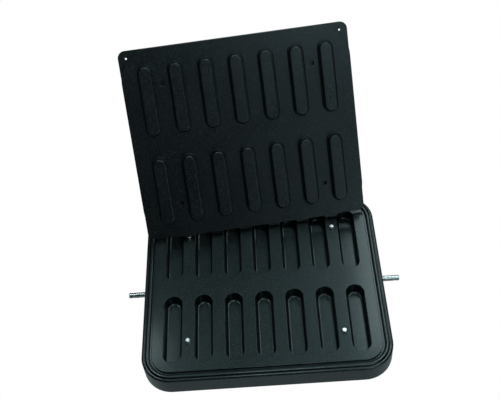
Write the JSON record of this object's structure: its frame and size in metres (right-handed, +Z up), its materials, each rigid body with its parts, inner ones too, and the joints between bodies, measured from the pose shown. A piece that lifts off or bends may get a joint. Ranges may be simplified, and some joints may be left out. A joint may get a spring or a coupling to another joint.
{
  "type": "moulding plate pair",
  "caption": "Pair of coated aluminium moulding plates for finger-shaped pastry shells: a cavity plate lying flat and a punch plate tilted open behind it.",
  "frame": {"origin": "middle of the lower plate's underside, at the height of the surface it lies on", "axes": "+Z up, +X to the right along the seven columns, +Y to the back, where the upper plate leans"},
  "size_m": [0.4006, 0.4345, 0.2795],
  "materials": {
    "lower_coating": "aluminium with a fine-textured black non-stick coating",
    "carrier_coating": "aluminium with a satin black non-stick coating",
    "sheet_coating": "aluminium with a satin black non-stick coating",
    "punch_coating": "aluminium with a satin black non-stick coating",
    "pin_steel": "ground stainless steel",
    "rod_steel": "turned stainless steel",
    "screw_steel": "plain steel screw"
  },
  "bodies": {
    "lower_half": {"lower_plate": "lower_coating", "locating_pin_front_left": "pin_steel", "locating_pin_front_right": "pin_steel", "locating_pin_rear_left": "pin_steel", "locating_pin_rear_right": "pin_steel", "side_rod_left": "rod_steel", "side_rod_right": "rod_steel"},
    "upper_half": {"backing_sheet": "sheet_coating", "punch_carrier": "carrier_coating", "punch_front_1": "punch_coating", "punch_front_2": "punch_coating", "punch_front_3": "punch_coating", "punch_front_4": "punch_coating", "punch_front_5": "punch_coating", "punch_front_6": "punch_coating", "punch_front_7": "punch_coating", "punch_rear_1": "punch_coating", "punch_rear_2": "punch_coating", "punch_rear_3": "punch_coating", "punch_rear_4": "punch_coating", "punch_rear_5": "punch_coating", "punch_rear_6": "punch_coating", "punch_rear_7": "punch_coating", "punch_screws": "screw_steel"}
  },
  "joints": [
    {"name": "closing_swing", "type": "hinge", "parent": "lower_half", "child": "upper_half", "pos_m": [0, 0.11488, 0.06565], "axis": [0.9986, 0.0462, -0.0243], "range_deg": [0, 124.56]}
  ]
}
